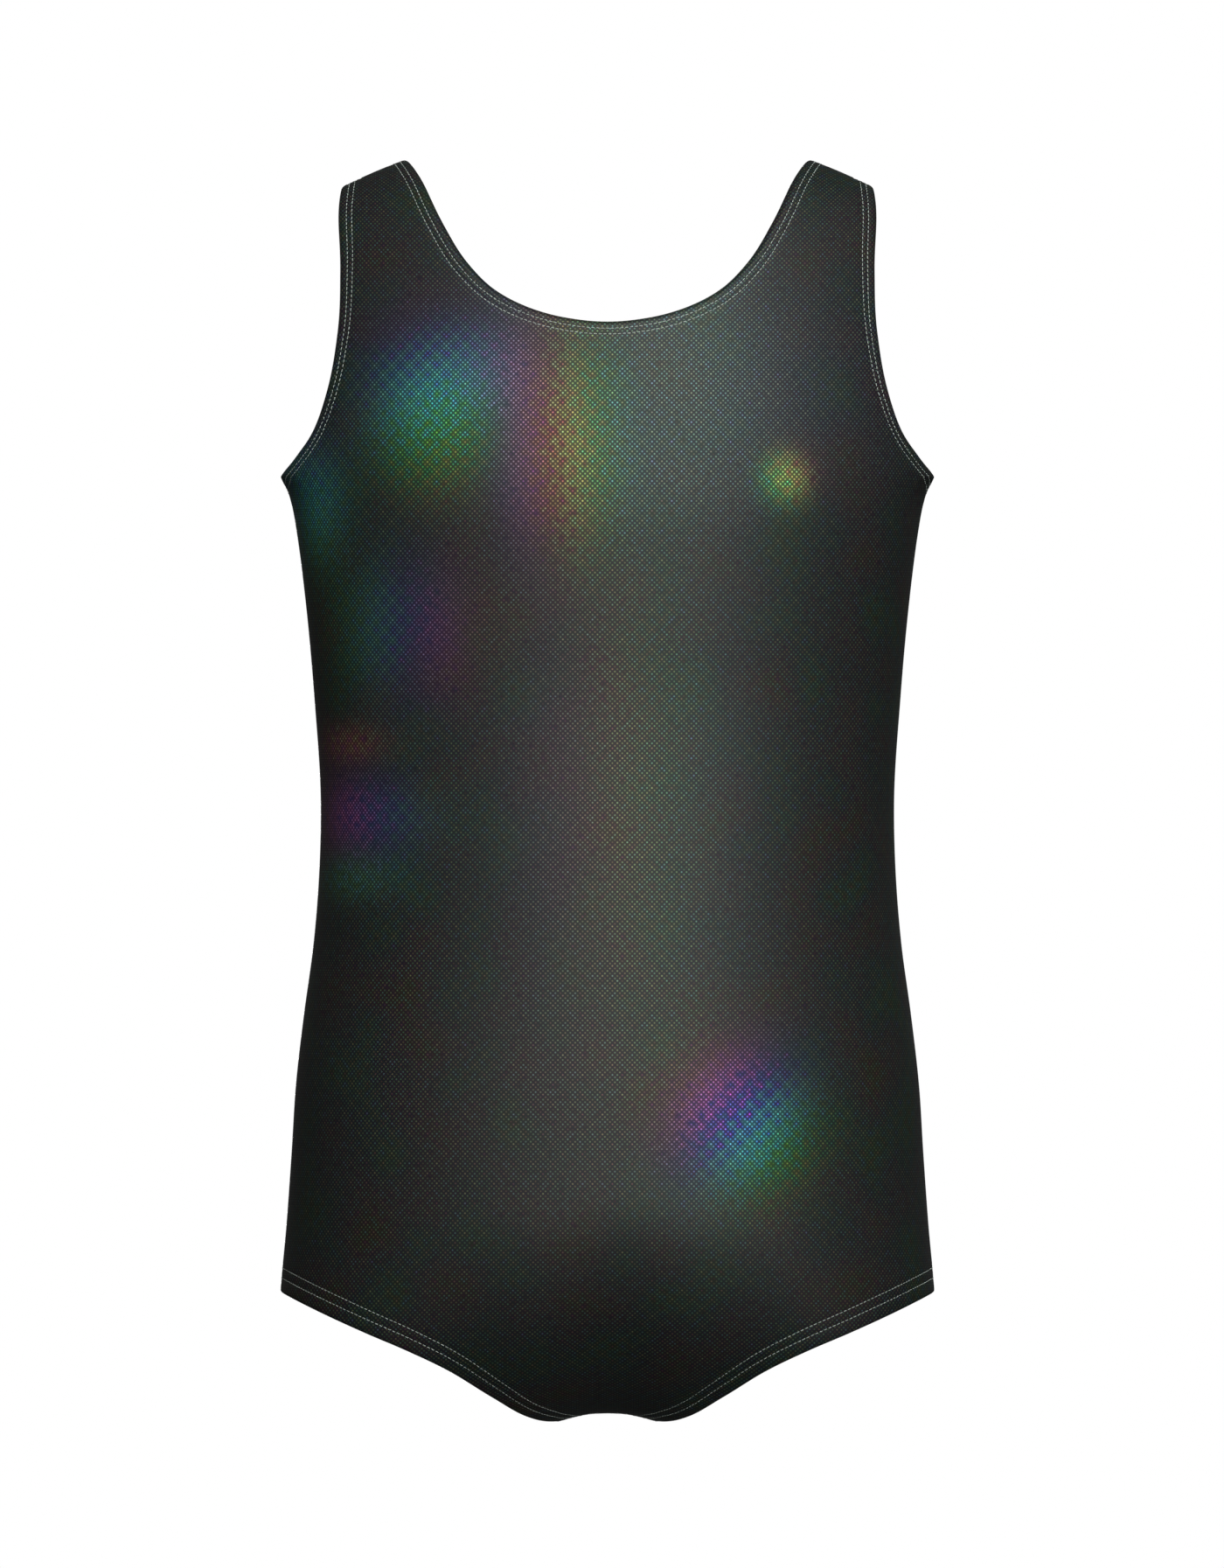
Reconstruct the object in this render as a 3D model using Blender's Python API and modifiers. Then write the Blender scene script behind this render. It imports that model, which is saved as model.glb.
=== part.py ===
# A child's tank leotard in stretch foil knit, filled out as it is worn.
# A front panel and a back panel are sewn into one open tube, with turned hems at the neck, arms and legs.
# The script works in millimetres and hands metres to Blender. +Z is up, the wearer faces -Y, and the
# origin is midway between the inner tops of the two straps.
import bpy
import numpy as np
from mathutils.geometry import delaunay_2d_cdt

MM = 0.001
OUTWARD = {"front": -1.0, "back": 1.0}  # the way along Y in which each panel faces

# Cloth
CLOTH = 1.0  # wall of a panel
HEM_CLOTH = 1.0  # wall of a turned hem, which holds the elastic
SEAM_GAP = 0.3  # between pieces that are sewn together
NECK_HEM = 7.5  # widths of the turned hems
ARMHOLE_HEM = 8.0
LEG_HEM = 11.0

# Level sections of the body, from the straps down
SECTIONS = (
    # height, half width, depth of the front, depth of the back
    (20, 126.0, 66, 56),
    (-50, 126.0, 70, 62),
    (-100, 126.2, 75, 68),
    (-127, 125.6, 77, 68),
    (-143, 123.6, 77, 67),
    (-157, 121.7, 76, 66),
    (-186, 118.4, 74, 62),
    (-214, 116.0, 72, 57),
    (-255, 113.5, 72, 55),
    (-284, 114.2, 74, 58),
    (-311, 116.4, 76, 64),
    (-339, 120.2, 78, 73),
    (-366, 123.3, 80, 81),
    (-394, 125.1, 81, 87),
    (-422, 127.1, 81, 89),
    (-449, 129.5, 80, 88),
    (-520, 129.5, 78, 82),
)
ROUNDNESS = 2.2  # power of the section's curve: 2 is an ellipse, more is squarer

# The straps' tops follow a shallow arch, and the cloth rounds over them and under the crotch
CREST_TOP = 14.56  # the arch's height on the centre line
CREST_DROP = 0.002333  # and how fast it falls away to each side
STRAP_WIDTH_IN = 79.0  # half width of the neck at the strap tops
STRAP_WIDTH_OUT = 106.3  # half width at the straps' outer edges
TOP_ROUND = {"front": 140.0, "back": 125.0}  # height over which the cloth rounds over the shoulders
BOTTOM_ROUND = {"front": 90.0, "back": 78.0}  # height over which it rounds under to the crotch seam
HIP_WIDTH = 129.5  # half width at the hip corner, where side seam and leg opening meet
HIP_HEIGHT = -448.9
CROTCH_WIDTH = 20.0  # half width of the crotch seam
LEG_POWER = {"front": 0.70, "back": 0.80}  # how soon the leg line swings away from the crotch seam

# The armpit's stiff corner stands out a little from the side
ARMPIT_HEIGHT = -127.0
FLARE = 4.4
FLARE_BELOW = 5.5  # distances over which the flare dies away
FLARE_ABOVE = 30.0
FLARE_POWER = 12  # keeps it close to the side seam

LOWER_EDGE = (
    # half width, height, from the centre to the hip
    (0.0, -496.7),
    (7.2, -497.1),
    (14.0, -498.5),
    (20.0, -500.0),
    (25.9, -499.8),
    (32.0, -498.0),
    (45.9, -490.0),
    (62.5, -479.6),
    (79.2, -471.4),
    (95.8, -464.3),
    (112.4, -456.9),
    (129.5, -448.9),
)
NECK_LINE = {
    # half width, height, from the centre to the strap top
    "front": (
        (0, -64.8),
        (16, -63.3),
        (32, -58.8),
        (45, -51.8),
        (56, -40.8),
        (65.5, -25.4),
        (73, -9.6),
        (79, 0),
    ),
    "back": (
        (0, -92.0),
        (17, -90.4),
        (33, -84.0),
        (46, -73.0),
        (56, -58.0),
        (65, -38.0),
        (73, -16.5),
        (79, 0),
    ),
}
ARMHOLE_LINE = (
    # half width, height, from the strap top to the armpit
    (106.3, -11.8),
    (107.3, -24.0),
    (106.6, -46.0),
    (107.6, -69.0),
    (111.1, -89.7),
    (116.6, -106.5),
    (123.6, -117.3),
    (129.4, -124.3),
    (130.0, -127.0),
)

# Mesh
GRID = 15.0  # distance between points inside a panel
EDGE_STEP = 9.0  # distance between points along an edge
SEAM_ROW = 1.8  # distance from a seam to the next row of points
ACROSS_SCALE = 99.0  # millimetres of cloth for a radian round the body, on average
OVER_SCALE = 92.0  # and for a radian over the shoulders or under the crotch
CLEARANCE = 0.5  # least distance of the grid from any line, as a share of the grid's own
MERGE = 0.01  # points closer than this are one
FINE = 100  # points on a line before it is divided evenly
STEP = 0.05  # length over which a slope is measured
ROUNDS = 40  # of the search for a point's share of the width

COLLECTION = "tank_leotard"
FINISHES = {
    # colour, roughness, metallic
    "foil_knit": ((0.020, 0.024, 0.022, 1.0), 0.45, 0.3),
    "turned_hem": ((0.028, 0.032, 0.029, 1.0), 0.60, 0.1),
}


def smooth(rows, at):
    """A smooth curve through rows of place and value, read at the given places."""
    places, values = np.array(sorted(rows), float).T
    slopes = np.gradient(values, places)
    k = np.clip(np.searchsorted(places, at) - 1, 0, len(places) - 2)
    span = places[k + 1] - places[k]
    t = np.clip((at - places[k]) / span, 0.0, 1.0)
    rise = values[k + 1] - values[k]
    cubic = t * t * (3 - 2 * t)
    return (
        values[k]
        + rise * cubic
        + span * slopes[k] * t * (1 - t) ** 2
        - span * slopes[k + 1] * t * t * (1 - t)
    )


def half_width(z):
    return smooth([(row[0], row[1]) for row in SECTIONS], z)


def depth(side, z):
    column = {"front": 2, "back": 3}[side]
    return smooth([(row[0], row[column]) for row in SECTIONS], z)


def flare(z):
    """How far the side seam stands out round the armpit."""
    below = np.exp(np.minimum(z - ARMPIT_HEIGHT, 0.0) / FLARE_BELOW)
    above = np.exp(-np.maximum(z - ARMPIT_HEIGHT, 0.0) / FLARE_ABOVE)
    return FLARE * below * above


def width_share(x, z):
    """The share of the half width at which a point lies: 0 on the centre line, 1 on the side seam."""
    share = x / half_width(z)
    for _ in range(ROUNDS):
        share = (x - flare(z) * share**FLARE_POWER) / half_width(z)
    return np.clip(share, 0.0, 1.0)


def crest(share):
    """Height of the shoulder line."""
    return CREST_TOP - CREST_DROP * (half_width(0.0) * share) ** 2


def leg_turn(side, share):
    """How far the leg line has come round from the crotch seam: 0 there, a right angle at the hip."""
    swing = np.clip((HIP_WIDTH * share - CROTCH_WIDTH) / (HIP_WIDTH - CROTCH_WIDTH), 0.0, 1.0)
    return np.pi / 2 * swing ** LEG_POWER[side]


def lower_edge(share):
    """Height of the garment's lower outline as seen from the front."""
    mirrored = [(-row[0], row[1]) for row in LOWER_EDGE[1:3]]
    return smooth(mirrored + list(LOWER_EDGE), HIP_WIDTH * share)


def floor(side, share):
    """Height of the lowest level that the cloth would reach if no leg were cut out."""
    turn = leg_turn(side, share)
    return lower_edge(share) - BOTTOM_ROUND[side] * (1 - np.cos(turn))


def straight_part(side, share):
    """Top and bottom of the stretch between the shoulders' and the crotch's rounding."""
    return crest(share) - TOP_ROUND[side], floor(side, share) + BOTTOM_ROUND[side]


def across_at(share):
    """Place across the laid-out cloth for a share of the half width."""
    return ACROSS_SCALE * np.arcsin(np.clip(share ** (ROUNDNESS / 2), 0.0, 1.0))


def to_plane(side, x, z):
    """The point of the laid-out cloth, across and up, that lies at this half width and height."""
    share = width_share(x, z)
    across = across_at(share)
    top, bottom = straight_part(side, share)
    over = np.arccos(np.clip(1 - (crest(share) - z) / TOP_ROUND[side], 0.0, 1.0))
    under = np.arccos(np.clip(1 - (z - floor(side, share)) / BOTTOM_ROUND[side], 0.0, 1.0))
    up = -OVER_SCALE * over - np.clip(top - z, 0.0, top - bottom) - OVER_SCALE * (np.pi / 2 - under)
    return np.stack([across, up], axis=-1)


def on_shoulder(x):
    """The point of the laid-out cloth on the shoulder seam at this half width."""
    share = width_share(x, crest(x / half_width(0.0)))
    return np.stack([across_at(share), 0.0 * share], axis=-1)


def on_side(side, z):
    """The point on the side seam at this height."""
    place = to_plane(side, half_width(z) + flare(z), z)
    return np.stack([0.0 * z + ACROSS_SCALE * np.pi / 2, place[..., 1]], axis=-1)


def on_crotch(side, x):
    """The point on the crotch seam at this half width."""
    share = x / HIP_WIDTH
    top, bottom = straight_part(side, share)
    return np.stack([across_at(share), -OVER_SCALE * np.pi - (top - bottom)], axis=-1)


def surface(side, plane):
    """Where a point of the laid-out cloth lies in space."""
    turn = np.clip(plane[..., 0] / ACROSS_SCALE, 0.0, np.pi / 2)
    share = np.sin(turn) ** (2 / ROUNDNESS)
    top, bottom = straight_part(side, share)
    down = np.maximum(-plane[..., 1], 0.0)
    round_length = OVER_SCALE * np.pi / 2
    over = np.clip(down / OVER_SCALE, 0.0, np.pi / 2)
    level = np.clip(down - round_length, 0.0, top - bottom)
    under = np.pi / 2 - np.clip((down - round_length - (top - bottom)) / OVER_SCALE, 0.0, np.pi / 2)
    z = crest(share) - TOP_ROUND[side] * (1 - np.cos(over)) - level - BOTTOM_ROUND[side] * np.cos(under)
    x = share * half_width(z) + flare(z) * share**FLARE_POWER
    y = depth(side, z) * np.cos(turn) ** (2 / ROUNDNESS) * np.sin(over) * np.sin(under)
    return np.stack([x, OUTWARD[side] * y, z], axis=-1)


def normals(side, plane):
    """Outward directions of the surface at the plane's points."""
    here = surface(side, plane)
    inward_x = np.where(plane[:, 0] < 2 * STEP, STEP, -STEP)
    inward_y = np.where(plane[:, 1] > -OVER_SCALE * np.pi, -STEP, STEP)
    across = (surface(side, plane + np.stack([inward_x, 0 * inward_x], -1)) - here) * inward_x[:, None]
    up = (surface(side, plane + np.stack([0 * inward_y, inward_y], -1)) - here) * inward_y[:, None]
    normal = -OUTWARD[side] * np.cross(across, up)
    normal[here[:, 0] < STEP, 0] = 0.0
    normal[abs(here[:, 1]) < STEP / 10, 1] = 0.0
    return normal / np.linalg.norm(normal, axis=1, keepdims=True)


def lengths_along(points):
    steps = np.linalg.norm(np.diff(points, axis=0), axis=1)
    return np.concatenate([[0.0], np.cumsum(steps)])


def resample(side, plane, end_step=0.0):
    """The same line with points evenly apart on the cloth, but for a short step at each end if given."""
    lengths = lengths_along(surface(side, plane))
    total = lengths[-1]
    count = max(1, round((total - 2 * end_step) / EDGE_STEP))
    places = np.linspace(end_step, total - end_step, count + 1)
    if end_step:
        places = np.concatenate([[0.0], places, [total]])
    return np.stack([np.interp(places, lengths, plane[:, k]) for k in (0, 1)], axis=-1)


def drawn_line(side, rows):
    """A smooth line through rows of half width and height, on the laid-out cloth."""
    rows = np.array(rows, float)
    place = np.arange(len(rows))
    fine = np.linspace(0, len(rows) - 1, FINE)
    x = smooth(list(zip(place, rows[:, 0])), fine)
    z = smooth(list(zip(place, rows[:, 1])), fine)
    return to_plane(side, x, z)


def moved_in(side, line, distance, first, last):
    """A line beside another, a distance further into the cloth on its right, with given end points."""
    points = surface(side, line)
    along = np.gradient(points, axis=0)
    along /= np.linalg.norm(along, axis=1, keepdims=True)
    into = -OUTWARD[side] * np.cross(along, normals(side, line))
    across = (surface(side, line - [STEP, 0]) - points) / -STEP
    up = (surface(side, line - [0, STEP]) - points) / -STEP
    moved = line.copy()
    for k in range(1, len(line) - 1):
        axes = np.stack([across[k], up[k]], axis=1)
        moved[k] += np.linalg.lstsq(axes, into[k] * distance, rcond=None)[0]
    moved[0] = first
    moved[-1] = last
    return moved


def seam_lines(side):
    """The seams, each in stretches: under a hem at its ends, and bare between."""
    marks = {
        "shoulder": (
            STRAP_WIDTH_IN,
            STRAP_WIDTH_IN + NECK_HEM,
            STRAP_WIDTH_OUT - ARMHOLE_HEM,
            STRAP_WIDTH_OUT,
        ),
        "side": (ARMPIT_HEIGHT, ARMPIT_HEIGHT - ARMHOLE_HEM, HIP_HEIGHT + LEG_HEM, HIP_HEIGHT),
        "crotch": (CROTCH_WIDTH, CROTCH_WIDTH - LEG_HEM, 0.0),
    }
    place = {
        "shoulder": on_shoulder,
        "side": lambda z: on_side(side, z),
        "crotch": lambda x: on_crotch(side, x),
    }
    lines = {}
    for name, ends in marks.items():
        stretches = [place[name](np.linspace(*pair, FINE)) for pair in zip(ends, ends[1:])]
        lines[name] = [resample(side, stretch) for stretch in stretches]
    return lines


def hem_edges(side, seams):
    """The outer edge of each turned hem."""
    leg_x = np.linspace(HIP_WIDTH, CROTCH_WIDTH, FINE)
    lines = {
        "neck": drawn_line(side, NECK_LINE[side]),
        "armhole": drawn_line(side, ARMHOLE_LINE),
        "leg": to_plane(side, leg_x, lower_edge(leg_x / HIP_WIDTH)),
    }
    lines["neck"][-1] = seams["shoulder"][0][0]
    lines["armhole"][0], lines["armhole"][-1] = seams["shoulder"][-1][-1], seams["side"][0][0]
    lines["leg"][0], lines["leg"][-1] = seams["side"][-1][-1], seams["crotch"][0][0]
    return {name: resample(side, line, SEAM_ROW) for name, line in lines.items()}


def hem_folds(side, seams, edges):
    """The inner edge of each turned hem, a hem's width from the outer one."""
    neck_low = np.array([0.0, edges["neck"][0][1] - NECK_HEM])
    rows = (
        ("neck", NECK_HEM, neck_low, seams["shoulder"][0][-1]),
        ("armhole", ARMHOLE_HEM, seams["shoulder"][-1][0], seams["side"][0][-1]),
        ("leg", LEG_HEM, seams["side"][-1][0], seams["crotch"][0][-1]),
    )
    return {name: moved_in(side, edges[name], *row) for name, *row in rows}


def seam_rows(side, seams, folds, centre):
    """Points beside each seam's bare stretch, from hem to hem, so that the cloth leaves the seam square."""
    rows = (
        ("shoulder", folds["neck"][-2], folds["armhole"][1]),
        ("side", folds["armhole"][-2], folds["leg"][1]),
        ("crotch", folds["leg"][-2], centre[1]),
    )
    return [moved_in(side, seams[name][1], SEAM_ROW, *ends) for name, *ends in rows]


def inside(points, outline):
    """Which points lie inside a closed outline, by counting the edges that a level line crosses."""
    x, y = points[:, :1], points[:, 1:]
    x0, y0 = outline.T
    x1, y1 = np.roll(outline, -1, axis=0).T
    crosses = (y0 > y) != (y1 > y)
    at = x0 + (y - y0) / np.where(y1 == y0, 1.0, y1 - y0) * (x1 - x0)
    return (crosses & (x < at)).sum(axis=1) % 2 == 1


def nearest(points, line):
    """Each point's distance from a line."""
    start, along = line[:-1], np.diff(line, axis=0)
    offset = points[:, None] - start
    share = np.clip((offset * along).sum(-1) / (along**2).sum(-1), 0.0, 1.0)
    return np.linalg.norm(offset - share[..., None] * along, axis=-1).min(axis=1)


def staggered_grid(outline):
    """Points over the outline's box in staggered rows."""
    low, high = outline.min(axis=0), outline.max(axis=0)
    rise = GRID * np.sqrt(0.75)
    rows = int((high[1] - low[1]) / rise) + 1
    columns = int((high[0] - low[0]) / GRID) + 2
    points = []
    for row in range(rows):
        shift = GRID / 2 * (row % 2)
        points += [(column * GRID + shift, high[1] - row * rise) for column in range(columns)]
    return np.array(points)


def half_panel(side):
    """Points and triangles of the half panel at +X, and the triangles of each hem's strip."""
    seams = seam_lines(side)
    edges = hem_edges(side, seams)
    folds = hem_folds(side, seams, edges)
    centre = resample(side, np.linspace(seams["crotch"][-1][-1], folds["neck"][0], FINE), SEAM_ROW)
    parts = [edges["neck"], *seams["shoulder"], edges["armhole"], *seams["side"], edges["leg"]]
    parts += [*seams["crotch"], centre, np.array([folds["neck"][0], edges["neck"][0]])]
    outline = np.concatenate([part[:-1] for part in parts])
    inner_lines = list(folds.values()) + seam_rows(side, seams, folds, centre)
    grid = staggered_grid(outline)
    grid = grid[inside(grid, outline)]
    strips = {name: np.concatenate([edges[name], fold[::-1]]) for name, fold in folds.items()}
    for strip in strips.values():
        grid = grid[~inside(grid, strip)]
    for line in [outline, *inner_lines]:
        grid = grid[nearest(grid, line) > GRID * CLEARANCE]
    points = list(outline)
    bonds = [(k, (k + 1) % len(outline)) for k in range(len(outline))]
    for line in inner_lines:
        bonds += [(len(points) + k, len(points) + k + 1) for k in range(len(line) - 1)]
        points += list(line)
    points = [tuple(point) for point in [*points, *grid]]
    flat, _, faces, _, _, _ = delaunay_2d_cdt(points, bonds, [], 1, MERGE)
    plane = np.array([tuple(point) for point in flat])
    faces = np.array([tuple(face) for face in faces])
    middles = plane[faces].mean(axis=1)
    hem_faces = {name: faces[inside(middles, strip)] for name, strip in strips.items()}
    return plane, faces, hem_faces


def material(name):
    color, roughness, metallic = FINISHES[name]
    made = bpy.data.materials.new(name)
    made.use_nodes = True
    shader = made.node_tree.nodes["Principled BSDF"]
    shader.inputs["Base Color"].default_value = color
    shader.inputs["Roughness"].default_value = roughness
    shader.inputs["Metallic"].default_value = metallic
    return made


def new_mesh(name, points, faces):
    mesh = bpy.data.meshes.new(name)
    mesh.from_pydata((points * MM).tolist(), [], faces.tolist())
    mesh.shade_smooth()
    return mesh


def add_piece(name, points, faces, finish, collection):
    """A named object from points in millimetres."""
    mesh = new_mesh(name, points, faces)
    mesh.materials.append(finish)
    piece = bpy.data.objects.new(name, mesh)
    collection.objects.link(piece)
    return piece


def add_mirror(piece):
    mirror = piece.modifiers.new("Mirror", "MIRROR")
    mirror.use_axis = (True, False, False)
    mirror.use_mirror_merge = True
    mirror.merge_threshold = 0.00005


def add_wall(piece, thickness):
    wall = piece.modifiers.new("Solidify", "SOLIDIFY")
    wall.thickness = thickness * MM
    wall.offset = -1.0


def half_cloth(side):
    """The outer points, outward directions, faces and hem faces of half a panel."""
    plane, faces, hem_faces = half_panel(side)
    points = surface(side, plane)
    points[:, 1] += SEAM_GAP / 2 * OUTWARD[side]
    on_centre = plane[:, 0] < STEP
    points[on_centre, 0] = 0.0
    if side == "back":
        faces = faces[:, ::-1]
        hem_faces = {name: strip[:, ::-1] for name, strip in hem_faces.items()}
    mesh = new_mesh("guide", points, faces)
    out = np.array([tuple(vertex.normal) for vertex in mesh.vertices])
    bpy.data.meshes.remove(mesh)
    out[on_centre, 0] = 0.0
    out /= np.linalg.norm(out, axis=1, keepdims=True)
    return points, out, faces, hem_faces


def add_panel(side, cloth, finish, collection):
    """One of the two panels: its half, mirrored over the centre line."""
    points, _, faces, _ = cloth[side]
    piece = add_piece(f"{side}_panel", points, faces, finish, collection)
    add_mirror(piece)
    add_wall(piece, CLOTH)


def hem_stretch(cloth, side, line):
    """One side's stretch of a hem: the panel's own strip, moved in. It ends on the seams."""
    points, out, _, hem_faces = cloth[side]
    used, faces = np.unique(hem_faces[line], return_inverse=True)
    faces = faces.reshape(-1, 3)
    on_seam = abs(points[used, 1]) < SEAM_GAP
    out = out[used].copy()
    out[on_seam, 1] = 0.0
    out /= np.linalg.norm(out, axis=1, keepdims=True)
    moved = points[used] - out * (CLOTH + SEAM_GAP)
    moved[on_seam, 1] = 0.0
    return moved, faces, on_seam


def add_hem(name, line, cloth, finish, collection, half=None):
    """A turned hem all round an opening, from its front and back stretches. The neck's is mirrored too."""
    front, front_faces, front_seam = hem_stretch(cloth, "front", line)
    back, back_faces, back_seam = hem_stretch(cloth, "back", line)
    seam_points = np.where(front_seam)[0]
    index = len(front) + np.arange(len(back))
    for k in np.where(back_seam)[0]:
        gaps = np.linalg.norm(front[seam_points] - back[k], axis=1)
        index[k] = seam_points[gaps.argmin()]
    points = np.concatenate([front, back])
    faces = np.concatenate([front_faces, index[back_faces]])
    if half == "right":
        points[:, 0] *= -1
        faces = faces[:, ::-1]
    used, faces = np.unique(faces, return_inverse=True)
    piece = add_piece(name, points[used], faces.reshape(-1, 3), finish, collection)
    if half is None:
        add_mirror(piece)
    add_wall(piece, HEM_CLOTH)


def clear_scene():
    for item in list(bpy.data.objects):
        bpy.data.objects.remove(item, do_unlink=True)


def build():
    clear_scene()
    collection = bpy.data.collections.new(COLLECTION)
    bpy.context.scene.collection.children.link(collection)
    foil = material("foil_knit")
    hem = material("turned_hem")
    cloth = {side: half_cloth(side) for side in OUTWARD}
    for side in OUTWARD:
        add_panel(side, cloth, foil, collection)
    add_hem("neck_hem", "neck", cloth, hem, collection)
    for line in ("armhole", "leg"):
        for half in ("left", "right"):
            add_hem(f"{line}_hem_{half}", line, cloth, hem, collection, half)


build()
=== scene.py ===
# The looks of a child's tank leotard in black stretch knit with a lattice of holographic foil dots.
# Sizes are in millimetres and turn into metres where a mesh is made. The front faces -Y.
from functools import cache

import bmesh
import bpy
import numpy as np
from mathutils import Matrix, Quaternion, Vector
from mathutils.geometry import delaunay_2d_cdt


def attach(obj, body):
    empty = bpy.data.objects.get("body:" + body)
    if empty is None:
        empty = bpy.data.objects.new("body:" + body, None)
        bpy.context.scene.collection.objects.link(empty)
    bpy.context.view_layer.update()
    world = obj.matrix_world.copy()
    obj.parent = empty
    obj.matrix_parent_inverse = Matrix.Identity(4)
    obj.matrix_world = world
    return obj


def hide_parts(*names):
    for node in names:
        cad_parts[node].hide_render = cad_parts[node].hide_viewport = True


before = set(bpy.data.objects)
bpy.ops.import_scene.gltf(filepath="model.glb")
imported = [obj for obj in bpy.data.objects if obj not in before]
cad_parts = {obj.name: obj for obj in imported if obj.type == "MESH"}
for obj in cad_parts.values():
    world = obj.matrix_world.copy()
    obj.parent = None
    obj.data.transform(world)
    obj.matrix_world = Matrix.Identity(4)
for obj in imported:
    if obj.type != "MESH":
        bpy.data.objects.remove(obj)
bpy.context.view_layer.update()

MM = 0.001
OUTWARD = {"front": -1.0, "back": 1.0}  # the way along Y in which each side faces

# The garment's form, the same as its solids'
SECTIONS = (
    # height, half width, depth of the front, depth of the back
    (20, 126.0, 66, 56),
    (-50, 126.0, 70, 62),
    (-100, 126.2, 75, 68),
    (-127, 125.6, 77, 68),
    (-143, 123.6, 77, 67),
    (-157, 121.7, 76, 66),
    (-186, 118.4, 74, 62),
    (-214, 116.0, 72, 57),
    (-255, 113.5, 72, 55),
    (-284, 114.2, 74, 58),
    (-311, 116.4, 76, 64),
    (-339, 120.2, 78, 73),
    (-366, 123.3, 80, 81),
    (-394, 125.1, 81, 87),
    (-422, 127.1, 81, 89),
    (-449, 129.5, 80, 88),
    (-520, 129.5, 78, 82),
)
ROUNDNESS = 2.2  # 2 makes each level section an ellipse, and more makes it squarer
CREST_TOP = 14.56  # height that the shoulder line's curve would have at the centre
CREST_DROP = 0.002333  # and its fall for each square millimetre of the distance from there
STRAP_WIDTH_IN = 79.0  # from the centre to a strap's inner edge, on the shoulder seam
STRAP_WIDTH_OUT = 106.3  # and to its outer edge
TOP_ROUND = {"front": 140.0, "back": 125.0}  # height over which the cloth rounds to the shoulders
BOTTOM_ROUND = {"front": 90.0, "back": 78.0}  # and to the crotch seam
HIP_WIDTH = 129.5  # from the centre to the side seam's lower end
HIP_HEIGHT = -448.9
CROTCH_WIDTH = 20.0  # half the length of the crotch seam
LEG_POWER = {"front": 0.70, "back": 0.80}  # the less, the sooner the leg line comes round from the crotch
ARMPIT_HEIGHT = -126.2
FLARE = 4.4  # how far the stiff hem pushes the side seam out at the armpit
FLARE_BELOW = 5.5  # and the heights below and above it over which that fades
FLARE_ABOVE = 30.0
FLARE_POWER = 12  # the more, the closer to the seam the flare stays
LOWER_EDGE = (
    # half width, height, from the centre to the hip
    (0.0, -496.7),
    (7.2, -497.1),
    (14.0, -498.5),
    (20.0, -500.0),
    (25.9, -499.8),
    (32.0, -498.0),
    (45.9, -490.0),
    (62.5, -479.6),
    (79.2, -471.4),
    (95.8, -464.3),
    (112.4, -456.9),
    (129.5, -448.9),
)
NECK_LINE = {
    # half width, height, from the centre to the strap top
    "front": (
        (0, -64.8),
        (16, -63.3),
        (32, -58.8),
        (45, -51.8),
        (56, -40.8),
        (65.5, -25.4),
        (73, -9.6),
        (79, 0),
    ),
    "back": (
        (0, -92.0),
        (17, -90.4),
        (33, -84.0),
        (46, -73.0),
        (56, -58.0),
        (65, -38.0),
        (73, -16.5),
        (79, 0),
    ),
}
ARMHOLE_LINE = (
    # half width, height, from the strap top to the armpit
    (106.3, -11.8),
    (107.3, -24.0),
    (106.6, -46.0),
    (107.6, -69.0),
    (111.1, -89.7),
    (116.6, -106.5),
    (123.6, -117.3),
    (129.3, -124.4),
    (130.0, -126.2),
)

# Hems: how the edge rolls in, where the twin needles sew, and how wide the cloth is turned
HEMS = {
    # roll radius, first row, second row, width of the turned cloth
    "neck": (2.6, 3.5, 5.9, 7.5),
    "armhole": (2.6, 4.4, 6.6, 8.0),
    "leg": (1.4, 5.9, 9.7, 11.0),
}
WAIST = -255.0  # height from which lengths up the cloth count
LEVEL_LOW, LEVEL_HIGH = -440.0, -70.0  # between these heights lengths across the cloth are level
CLOTH = 0.55  # thickness of the knit
HEM_DEPTH = 1.25  # from the outer face to the turned layer's inner face
ROW_DENT = 0.14  # how far a row of stitches pulls the cloth in
ROW_SPREAD = 0.55  # reach of that dent to each side
STITCH = 1.9  # pitch of the stitches
STITCH_LENGTH = 1.4
THREAD = 0.34  # width of the thread
BAR = (
    # one stitch from end to end: share of its length, share of its width, height in thread widths
    (0.0, 0.25, -0.5),
    (0.12, 0.8, -0.1),
    (0.5, 1.0, 0.0),
    (0.88, 0.8, -0.1),
    (1.0, 0.25, -0.5),
)
BAR_SIDES = 6
BAR_FLATNESS = 0.8  # thickness of a stitch as a share of its width
TURNED_WALL = 0.7  # thickness of the turned layer as a share of the cloth's
LIP = (0.55, 0.3, 0.1)  # where the turned layer starts, as shares of the roll radius
LIP_CLEAR = 0.04  # how far the lip stands proud of the panel, which hides the joint

# Meshes
GRID = 3.0  # distance between points inside a panel
EDGE_STEP = 2.0  # distance between points along an edge
SEAM_DENTS = (0.32, 0.14, 0.0)  # how deep the cloth lies at a seam and in the rows of points beside it
SEAM_ROWS = (0.0, 0.7, 1.7)  # how far from the seam those rows are
BESIDE_ROW = 0.6  # distance of the extra points to each side of a stitch row
BEYOND_HEM = 1.0  # from the turned cloth's raw edge to where the plain grid may start
ACROSS_SCALE = 99.0  # millimetres laid out for each radian round a level section
OVER_SCALE = 92.0  # and for each radian over a shoulder or under the crotch
CLEARANCE = 0.55  # least distance from a grid point to a drawn line, as a share of the grid
MERGE = 0.01  # points of the layout closer than this become one
FINE = 240  # points along a line before it is spaced evenly
STEP = 0.05  # step over which slopes are taken, and points this near the centre line are on it
AHEAD = 0.3  # how far ahead on a path its direction is read
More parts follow.
